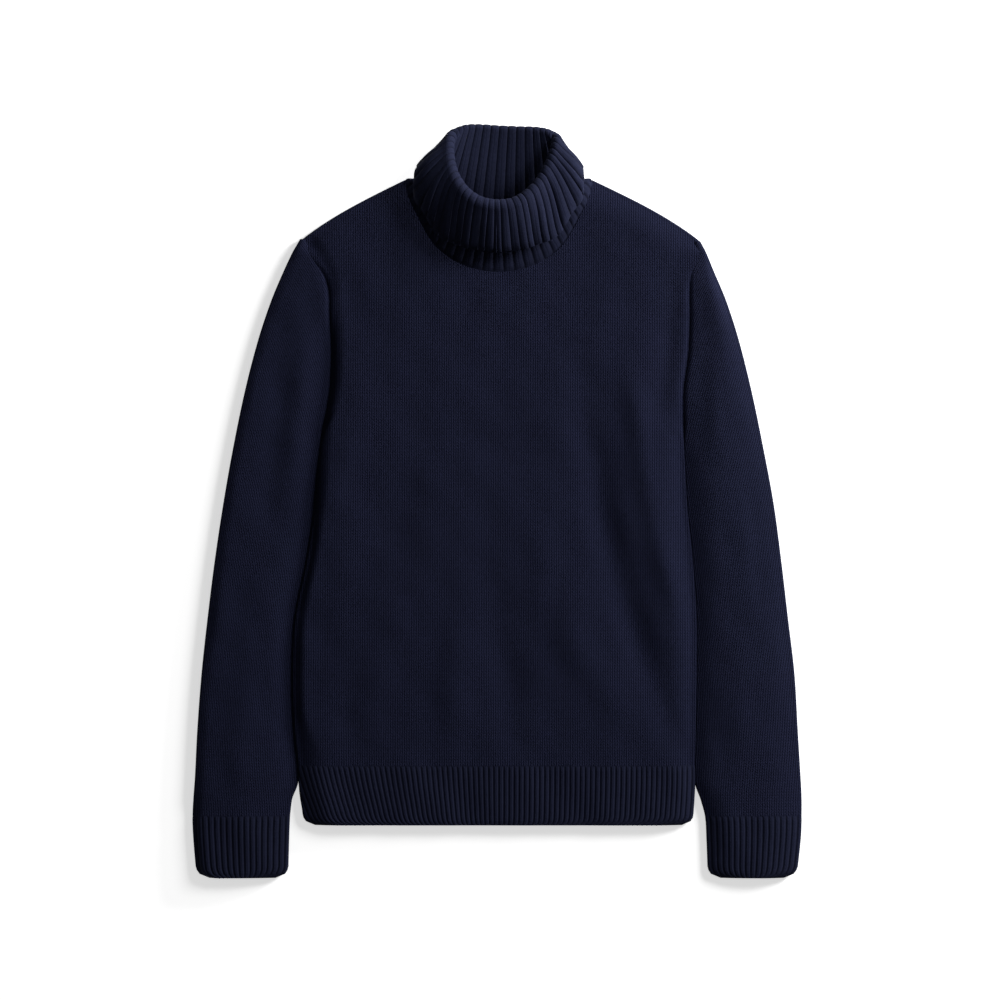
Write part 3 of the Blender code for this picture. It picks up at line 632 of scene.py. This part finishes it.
def cuffPlace(side):
    top = garment["cuffTop"] + hemRib["tuck"]

    def point(u, v):
        up = mixed(garment["cuffEnd"], top, ribRows(v))
        x, up, z = tubePoint(evenRound(u), up, side)
        inner, outer = sleeveEdges(up, side)
        fade = fadeOut(up, top - hemRib["tuck"], ribShape["endFade"])
        rib = ribWave(u * cuffRib["ribsRound"]) * fadeIn(z, *ribShape["aboveFloor"])
        rib *= fadeIn(up, garment["cuffEnd"], ribShape["endFade"]) * fade
        upperSide = fadeIn(z, *cuffRib["upperSide"])
        edgeward = (x * 2 - sideSign[side] * (inner + outer)) / (outer - inner)
        sideways = max(abs(edgeward) - 1.0 + cuffRib["sideShare"], 0.0) / cuffRib["sideShare"]
        x += math.copysign(rib * cuffRib["rise"] * ribShape["outward"] * sideways, edgeward)
        lift = (rib - cuffRib["level"] * fade * upperSide) * cuffRib["rise"]
        lift *= 1.0 - cuffRib["flatAtSide"] * sideways
        return x, up, z + lift - ribShape["sink"] * upperSide
    return point


def cuffStitches(u, v, spot):
    return u * cuffRib["ribsRound"], spot[1] / knit["course"]


# Collar: the stand rises from the neckline to the crest, rolls over and comes back outside. Its
# ribs are counted from the middle of the front, round by the wearer's left.
collar = {
    "ribs": 46, "perRib": 12, "wall": 2.8, "rise": 1.9, "ribLevel": 0.6, "footEnd": 0.30,
    "flatClimb": (0.8, 1.5),   # height and power of the climb where the stand starts flat
    "softRibs": 2.2,   # ribs to each side over which the stand is evened out
    "neckSteps": 1440, "roundStep": 2, "shareStep": 0.02, "shareLeast": 0.001,
}
# the crest: rib, x, up, height, climb, gap in the roll, gap at the free edge
crestLine = (
    (0, -1, 652, 45, 0.9, 6.0, 5.0), (4.2, 24, 657, 42, 0.95, 4.6, 4.2),
    (7.1, 42, 675, 34, 1.1, 3.4, 5.0), (9.9, 53, 694, 28, 1.4, 3.2, 6.5),
    (12.4, 60, 711, 24, 2.0, 3.0, 8.0), (15.2, 61, 726, 19, 2.6, 2.4, 4.5),
    (18, 50, 733, 12, 4.0, 1.6, 1.2), (23, 5, 735, 6.8, 6.0, 1.0, 0.8),
    (28, -38, 737, 11, 4.0, 1.6, 1.2), (30.9, -50.5, 727, 20, 2.6, 2.6, 5.0),
    (33.8, -53, 708, 28, 2.0, 4.2, 9.5), (36.2, -50.5, 691, 35, 1.5, 5.6, 7.5),
    (39.1, -42, 672, 42, 1.1, 6.6, 6.0), (41.9, -26, 657, 45, 0.95, 6.8, 5.5),
)


def necklinePoint(turn):
    side = sideOf(math.sin(turn))
    x = garment["neckHalf"] * math.sin(turn)
    inFront = math.cos(turn) >= 0.0
    if inFront:
        x *= pinch(math.cos(turn)) / pinch(0.0)
    drop = garment["frontDrop" if inFront else "backDrop"] * abs(math.cos(turn))
    up = garment["neckUp"] - drop
    distance = max((shoulderLine(x, side) - up) * math.cos(shoulderSlope(side)), 0.0)
    radius = garment["middleHeight"]
    if inFront:
        radius = garment["edgeHeight"] - garment["middleHeight"]
    loss = roundOver(runAt(distance, radius, quarterTurn), radius, quarterTurn)[1]
    if not inFront:
        return Vector((x, up, loss))
    rise = softRise(distance - radius, garment["riseWidth"])
    return Vector((x, up, mixed(garment["edgeHeight"], garment["fullHeight"], rise) - loss))


def collarLoops():
    # the neckline and the crest as points at even ribs, a few to each rib
    turns = [2.0 * math.pi * step / collar["neckSteps"] for step in range(collar["neckSteps"] + 1)]
    points = [necklinePoint(turn) for turn in turns]
    lengths = [0.0]
    for start, end in zip(points, points[1:]):
        lengths.append(lengths[-1] + (end - start).length)
    rows = list(crestLine)   # and three rows more at each end, which close the ring
    ring = [(row[0] - collar["ribs"],) + row[1:] for row in rows[-3:]] + rows
    ring += [(row[0] + collar["ribs"],) + row[1:] for row in rows[:3]]
    feet, crests = [], []
    at = 0
    for step in range(collar["ribs"] * collar["perRib"]):
        rib = step / collar["perRib"]
        length = lengths[-1] * rib / collar["ribs"]
        while lengths[at + 1] < length:
            at += 1
        share = (length - lengths[at]) / (lengths[at + 1] - lengths[at])
        feet.append(points[at].lerp(points[at + 1], share))
        crests.append([curveThrough(ring, column, rib) for column in range(1, len(rows[0]))])
    return feet, crests


feet, crests = collarLoops()


def sharpStand(step, share, flat):
    foot, crest = feet[step % len(feet)], crests[step % len(feet)]
    crestX, crestUp, crestHeight, climb = crest[:4]
    flatHeight, flatPower = collar["flatClimb"]
    flatRise = flatHeight * max(share, 0.0) ** flatPower
    height = mixed(foot.z, crestHeight, mixed(1.0 - (1.0 - share) ** climb, flatRise, flat))
    return Vector((mixed(foot.x, crestX, share), mixed(foot.y, crestUp, share), height))


def standPoint(step, share, flat=0.0):
    reach = collar["softRibs"] * collar["perRib"] * softStep(share / collar["footEnd"])
    ways = (-1.0, -0.5, 0.0, 0.5, 1.0)
    total = Vector()
    for way in ways:
        spot = step + way * reach
        low = math.floor(spot)
        total += sharpStand(low, share, flat).lerp(sharpStand(low + 1, share, flat), spot - low)
    return total / len(ways)


def standFrame(step, share, flat=0.0):
    # a place on the stand, the way outwards there and the way up along the cloth
    aside, further = collar["roundStep"], collar["shareStep"]
    roundWay = standPoint(step + aside, share, flat) - standPoint(step - aside, share, flat)
    upWay = (standPoint(step, min(share + further, 1.0), flat)
             - standPoint(step, max(share - further, collar["shareLeast"]), flat))
    return standPoint(step, share, flat), roundWay.cross(upWay).normalized(), upWay.normalized()


def ribsFromMiddle(around):
    return min(around, collar["ribs"] - around)


# behind, flatTo and shoulderRibs count the ribs to both sides of the middle
footBand = {
    "rows": 10, "length": 30.0, "rise": 0.3, "tuck": 0.4, "behind": (11.0, 2.0), "wallLean": 1.25,
    "flatTo": (11.0, 4.0), "shoulderStart": -4.2, "shoulderRibs": (11.8, 1.4),
    "ribRows": 3.0, "ribsAbove": (2.5, 4.0), "sunk": 0.8, "sunkRows": 2.0,
}


def footSection(step):
    rib = step / collar["perRib"]
    fromMiddle = ribsFromMiddle(rib)
    foot, crest = standPoint(step, 0.0), standPoint(step, 1.0)
    plan = math.hypot(crest.x - foot.x, crest.y - foot.y)
    climbAngle = math.atan2((crest.z - foot.z) * crests[step][3], plan)
    behind = fadeIn(fromMiddle, *footBand["behind"])
    start = behind * collar["wall"] * math.sin(climbAngle) * footBand["wallLean"]
    atShoulder = bell(fromMiddle, *footBand["shoulderRibs"])
    start = mixed(start - footBand["tuck"], footBand["shoulderStart"], atShoulder)
    start /= crest.y - foot.y
    flat = fadeOut(fromMiddle, *footBand["flatTo"])
    points = []
    for row in range(footBand["rows"] + 1):
        share = mixed(start, collar["footEnd"], row / footBand["rows"])
        point, outward = standFrame(step, share, flat)[:2]
        wave = (ribWave(rib + 0.5) - collar["ribLevel"]) * softStep(row / footBand["ribRows"])
        wave *= fadeIn(point.z, *footBand["ribsAbove"]) * collar["rise"] * footBand["rise"]
        sunk = footBand["sunk"] * (1.0 - softStep(row / footBand["sunkRows"])) * (1.0 - behind)
        points.append(point + outward * (wave - sunk))
    return points


# A waver is an unevenness from rib to rib: size, rate and start of a sine. behind, ribsEvenFrom,
# endLower and leanRibs count the ribs to both sides of the middle.
rollOver = {
    "standRows": 14, "rollRows": 10, "turnRows": 18, "length": 130.0, "cloth": 2.4,
    "overlap": 0.04, "startBehind": 0.07, "behind": (9.0, 4.0),
    "insideRise": 0.22, "rollRise": 0.5, "edgeRise": 0.65,
    "deeper": 0.9, "deeperFrom": (3.0, 3.0), "deeperTo": (13.0, 2.0),
    "ribWavers": ((0.10, 1.7, 0.0), (0.07, 3.1, 1.0)), "ribsEvenFrom": (15.0, 4.0),
    "heightWaver": (0.18, 2.3, 0.5), "endWaver": (0.012, 1.3, 0.0), "gapWaver": (0.5, 2.1, 1.0),
    "turnEnd": 0.34,   # the share of the stand down to which it turns over
    "endLower": ((0.13, (7.5, 2.6)), (0.15, (11.3, 1.3))),   # it comes down to the neckline there
    "lean": 1.1, "leanRibs": (8.0, 4.0), "gapBy": 0.7,
    "bulge": 0.8, "plumpBulge": 1.4, "plumpFrom": (31.0, 3.0), "plumpTo": (6.0, 6.0),
    "curl": 0.25, "curlBehind": 0.5, "curlFrom": (0.86, 0.14),
}


def waver(rib, size, rate, start):
    return size * math.sin(rib * rate + start)


def rollSection(step):
    rib = step / collar["perRib"]
    fromMiddle = ribsFromMiddle(rib)
    behind = fadeIn(fromMiddle, *rollOver["behind"])
    inFront = 1.0 - behind
    rollGap, edgeGap = crests[step][4:6]
    edgeGap += waver(rib, *rollOver["gapWaver"]) * inFront
    wall = collar["wall"]
    uneven = sum(waver(rib, *row) for row in rollOver["ribWavers"])
    uneven *= fadeOut(fromMiddle, *rollOver["ribsEvenFrom"])
    wave = (ribWave(rib + 0.5 + uneven) - collar["ribLevel"]) * collar["rise"]
    wave *= 1.0 + waver(rib, *rollOver["heightWaver"])
    turnEnd = rollOver["turnEnd"] + waver(rib, *rollOver["endWaver"]) * inFront
    for lower, ribs in rollOver["endLower"]:
        turnEnd -= lower * bell(fromMiddle, *ribs)
    lean = rollOver["lean"] * collar["perRib"] * bell(fromMiddle, *rollOver["leanRibs"])
    lean *= -1.0 if rib < collar["ribs"] / 2 else 1.0
    plump = fadeIn(rib, *rollOver["plumpFrom"]) + fadeOut(rib, *rollOver["plumpTo"])
    bulge = (rollOver["bulge"] + rollOver["plumpBulge"] * plump) * inFront
    curl = mixed(rollOver["curl"], rollOver["curlBehind"], behind)
    deeper = fadeIn(rib, *rollOver["deeperFrom"]) * fadeOut(rib, *rollOver["deeperTo"])
    deeper = 1.0 + rollOver["deeper"] * deeper
    firstShare = mixed(collar["footEnd"] - rollOver["overlap"], rollOver["startBehind"], behind)
    points = []
    for row in range(rollOver["standRows"] + 1):
        share = mixed(firstShare, 1.0, row / rollOver["standRows"])
        point, outward, along = standFrame(step, share)
        points.append(point - outward * (wall + wave * rollOver["insideRise"]))
    middle = point + outward * rollGap / 2
    for row in range(1, rollOver["rollRows"]):
        turn = math.pi * row / rollOver["rollRows"]
        way = along * math.sin(turn) - outward * math.cos(turn)
        points.append(middle + way * (rollGap / 2 + wall + wave * rollOver["rollRise"]))
    for row in range(rollOver["turnRows"] + 1):
        down = row / rollOver["turnRows"]
        share = mixed(1.0, turnEnd, down)
        point, outward = standFrame(step + lean * softStep(down), share)[:2]
        gap = mixed(rollGap, edgeGap, softStep(down / rollOver["gapBy"]))
        gap += bulge * math.sin(math.pi * down)
        height = wall + wave * mixed(rollOver["rollRise"], rollOver["edgeRise"], down) * deeper
        lip = 1.0 - curl * fadeIn(down, *rollOver["curlFrom"]) ** 2   # the free edge curls in
        points.append(point + outward * (gap + height) * lip)
    return points


def collarPlace(section, rows):
    sections = [section(step) for step in range(len(feet))]

    def point(u, v):
        return sections[round(u * len(feet)) % len(feet)][round(v * rows)]
    return point


def collarStitches(length):
    def count(u, v, spot):
        return u * collar["ribs"] + 0.5, v * length / knit["course"]
    return count


# Materials: knitted stitches drawn from the wales and courses in each piece's UV map, with painted
# shade in the gaps between stitches
# groove is the share of the stitch's colour left in the gaps between stitches, as painted shade
jerseyLook = {
    "colour": (0.0066, 0.0078, 0.0200), "groove": 0.30, "depth": 0.0007, "dish": 0.35,
    "bead": 0.55, "ribbed": False,
}
ribLook = {
    "colour": (0.0059, 0.0070, 0.0165), "groove": 0.4, "depth": 0.0003, "dish": 0.2,
    "bead": 0.25, "ribbed": True,
}
yarn = {
    "wobble": 0.5, "wobbleScale": 90.0, "fibre": 0.20, "fibreScale": 1400.0, "fibreDetail": 3.0,
    "dye": 0.5, "dyeScale": 260.0, "softDetail": 2.0, "darkest": 0.12, "lightest": 1.55,
    "legPower": 0.6, "beadPower": 0.5, "slant": -1.5, "centreWidth": 9.0, "centreDepth": 0.3,
}
surface = {
    "Roughness": 0.9, "Specular IOR Level": 0.04, "Sheen Weight": 0.012, "Sheen Roughness": 0.45,
    "Sheen Tint": (0.62, 0.68, 1.0, 1.0),
}


def fillInputs(tree, node, inputs):
    # each socket takes a value or is linked to another node's output
    for socket, value in inputs.items():
        if isinstance(value, bpy.types.NodeSocket):
            tree.links.new(value, node.inputs[socket])
        else:
            node.inputs[socket].default_value = value


def addNode(tree, kind, inputs, **settings):
    node = tree.nodes.new(kind)
    for name, value in settings.items():
        setattr(node, name, value)
    fillInputs(tree, node, inputs)
    return node.outputs


def knitMaterial(name, look):
    material = bpy.data.materials.new(name)
    material.use_nodes = True
    tree = material.node_tree
    spot = addNode(tree, "ShaderNodeTexCoord", {})["Object"]
    uv = addNode(tree, "ShaderNodeUVMap", {}, uv_map="Stitches")[0]
    counts = addNode(tree, "ShaderNodeSeparateXYZ", {0: uv})

    def maths(operation, *inputs):
        return addNode(tree, "ShaderNodeMath", dict(enumerate(inputs)), operation=operation)[0]

    def noise(scale, detail):
        inputs = {"Vector": spot, "Scale": scale, "Detail": detail}
        return addNode(tree, "ShaderNodeTexNoise", inputs, noise_dimensions="3D")["Fac"]

    # wales and courses wander a little, the wales half as far
    shift = noise(yarn["wobbleScale"], yarn["softDetail"])
    shift = maths("MULTIPLY_ADD", shift, yarn["wobble"], -yarn["wobble"] / 2)
    wale = maths("ADD", counts[0], maths("MULTIPLY", shift, 0.5))
    course = maths("ADD", counts[1], shift)
    # each stitch is a pair of slanted legs on either side of the wale's middle
    side = maths("ABSOLUTE", maths("SUBTRACT", maths("FRACT", wale), 0.5))
    if look["ribbed"]:   # the crest of a rib is full, and only the groove is low and darkened with painted shade
        leg = maths("COSINE", maths("MULTIPLY", side, math.pi))
    else:
        leg = maths("SINE", maths("MULTIPLY", side, 2.0 * math.pi))
    leg = maths("POWER", maths("MAXIMUM", leg, 0.0), yarn["legPower"])
    if look["ribbed"]:   # with a faint line along its middle, low and lightly darkened with painted shade
        centre = maths("MINIMUM", maths("MULTIPLY", side, yarn["centreWidth"]), 1.0)
        depth = yarn["centreDepth"]
        leg = maths("MULTIPLY", leg, maths("MULTIPLY_ADD", centre, depth, 1.0 - depth))
    row = maths("FRACT", maths("ADD", course, maths("MULTIPLY", side, yarn["slant"])))
    bead = maths("POWER", maths("SINE", maths("MULTIPLY", row, math.pi)), yarn["beadPower"])
    bead = maths("MULTIPLY_ADD", bead, look["bead"], 1.0 - look["bead"])
    dish = maths("SUBTRACT", 1.0, maths("MULTIPLY", side, look["dish"]))
    stitch = maths("MULTIPLY", maths("MULTIPLY", leg, dish), bead)
    fibre = noise(yarn["fibreScale"], yarn["fibreDetail"])
    height = maths("MULTIPLY_ADD", fibre, yarn["fibre"], stitch)
    bump = {"Strength": 1.0, "Distance": look["depth"], "Height": height}
    # the yarn is a little uneven in dye, and the gaps between stitches are darkened with painted
    # shade
    tone = noise(yarn["dyeScale"], yarn["softDetail"])
    tone = maths("MULTIPLY_ADD", tone, yarn["dye"], 1.0 - yarn["dye"] / 2)
    # painted shade: the colour falls towards groove where the stitch is low, in the gaps and
    # grooves
    fullness = maths("MULTIPLY_ADD", stitch, 1.0 - look["groove"], look["groove"])
    # dark and light bound the colour: both the painted shade of the gaps and the uneven dye move
    # between them
    dark, light = ([value * share for value in look["colour"]] + [1.0]
                   for share in (yarn["darkest"], yarn["lightest"]))
    # sockets 0, 6 and 7 are the mix node's factor and its two colours
    colours = {0: maths("MULTIPLY", tone, fullness), 6: dark, 7: light}
    fillInputs(tree, tree.nodes["Principled BSDF"], {
        "Base Color": addNode(tree, "ShaderNodeMix", colours, data_type="RGBA")[2],
        "Normal": addNode(tree, "ShaderNodeBump", bump)[0], **surface,
    })
    return material


jersey = knitMaterial("navyJerseyKnit", jerseyLook)
ribbing = knitMaterial("navyRibKnit", ribLook)
print("made the knit materials")


# Pieces
def dress(piece, node):
    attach(piece, "root")
    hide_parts(node)


# columns and rows of each grid, where a ribbed piece has its columns to a rib
grids = {
    "front": (190, 200), "back": (60, 60), "frontHem": (8, 20), "backHem": (2, 10),
    "sleeve": (140, 180), "cuff": (8, 20),
}

front = clothPiece("frontBody", *grids["front"], bodyPlace(True), jerseyStitches, jersey)
back = clothPiece("backBody", *grids["back"], bodyPlace(False), jerseyStitches, jersey,
                  turned=True)
dress(front, "front_panel")
dress(back, "back_panel")

flatPieces = [front, back]
for name, upper in (("front", True), ("back", False)):
    columns, rows = grids[name + "Hem"]
    hem = clothPiece(name + "HemRib", hemRib["ribsFront"] * columns, rows, hemPlace(upper),
                     hemStitches, ribbing, turned=not upper)
    dress(hem, name + "_hem_rib")
    flatPieces.append(hem)

columns, rows = grids["cuff"]
for name, turned in (("right", True), ("left", False)):
    tube = clothPiece(name + "Sleeve", *grids["sleeve"], sleevePlace(name), sleeveStitches(name),
                      jersey, joined=True, turned=turned)
    cuff = clothPiece(name + "CuffRib", cuffRib["ribsRound"] * columns, rows, cuffPlace(name),
                      cuffStitches, ribbing, joined=True, turned=turned)
    dress(tube, name + "_sleeve")
    dress(cuff, name + "_cuff")
    flatPieces += [tube, cuff]

rows = footBand["rows"]
collarFoot = clothPiece("collarFootBand", len(feet), rows, collarPlace(footSection, rows),
                        collarStitches(footBand["length"]), ribbing, joined=True)
dress(collarFoot, "collar_foot")
rows = rollOver["standRows"] + rollOver["rollRows"] + rollOver["turnRows"]
collarRoll = clothPiece("collarRoll", len(feet), rows, collarPlace(rollSection, rows),
                        collarStitches(rollOver["length"]), ribbing, joined=True,
                        thickness=rollOver["cloth"])
dress(collarRoll, "collar_roll")


# Floor, light and camera. A lamp has its power, place and size, in metres.
studio = {
    "cameraHeight": 3.2, "pictureWidth": 1.06, "farthest": 50.0, "sky": 0.10,
    "aim": (1.59, 344.5, 6.0),   # the place of the garment in the photo's middle
    "key": (75.0, (2.06, 1.35, 1.3), 0.9), "low": (160.0, (2.31, 1.51, 0.42), 0.6),
    "floorHalf": 6.0, "floorHeight": -0.0004,   # just clear of the garment's underside
}
whitePaper = {
    "Base Color": (0.93, 0.93, 0.93, 1.0), "Roughness": 0.9,
    "Emission Color": (1.0, 1.0, 1.0, 1.0), "Emission Strength": 0.60,
}
mesh = bmesh.new()
bmesh.ops.create_grid(mesh, x_segments=1, y_segments=1, size=studio["floorHalf"])
for vertex in mesh.verts:
    vertex.co.z = studio["floorHeight"]
floorData = bpy.data.meshes.new("floor")
mesh.to_mesh(floorData)
mesh.free()
floor = addObject("floor", floorData)
paper = bpy.data.materials.new("whitePaper")
paper.use_nodes = True
fillInputs(paper.node_tree, paper.node_tree.nodes["Principled BSDF"], whitePaper)
floorData.materials.append(paper)

world = bpy.data.worlds.new("studioSky")
bpy.context.scene.world = world
world.use_nodes = True
fillInputs(world.node_tree, world.node_tree.nodes["Background"],
           {"Color": (1.0, 1.0, 1.0, 1.0), "Strength": studio["sky"]})
bpy.context.scene.view_settings.view_transform = "Standard"


def addLamp(name):
    lamp = bpy.data.lights.new(name + "Light", "AREA")
    lamp.energy, spot, lamp.size = studio[name]
    holder = addObject(name + "Light", lamp)
    holder.location = spot
    holder.rotation_euler = (-Vector(spot)).to_track_quat("-Z", "Y").to_euler()
    return holder


addLamp("key")
lowLamp = addLamp("low")
# the collar's own long shadow from the low lamp is left out, as a screen would do
blockers = bpy.data.collections.new("lowLightShadows")
for piece in flatPieces:
    blockers.objects.link(piece)
lowLamp.light_linking.blocker_collection = blockers

aim = place(*studio["aim"])
distance = studio["cameraHeight"] - aim.z
cameraData = bpy.data.cameras.new("photoCamera")
cameraData.lens = cameraData.sensor_width * distance / studio["pictureWidth"]
cameraData.clip_end = studio["farthest"]
camera = addObject("photoCamera", cameraData)
camera.location = (aim.x, aim.y, studio["cameraHeight"])
bpy.context.scene.camera = camera
print("set the floor, lamps and camera")
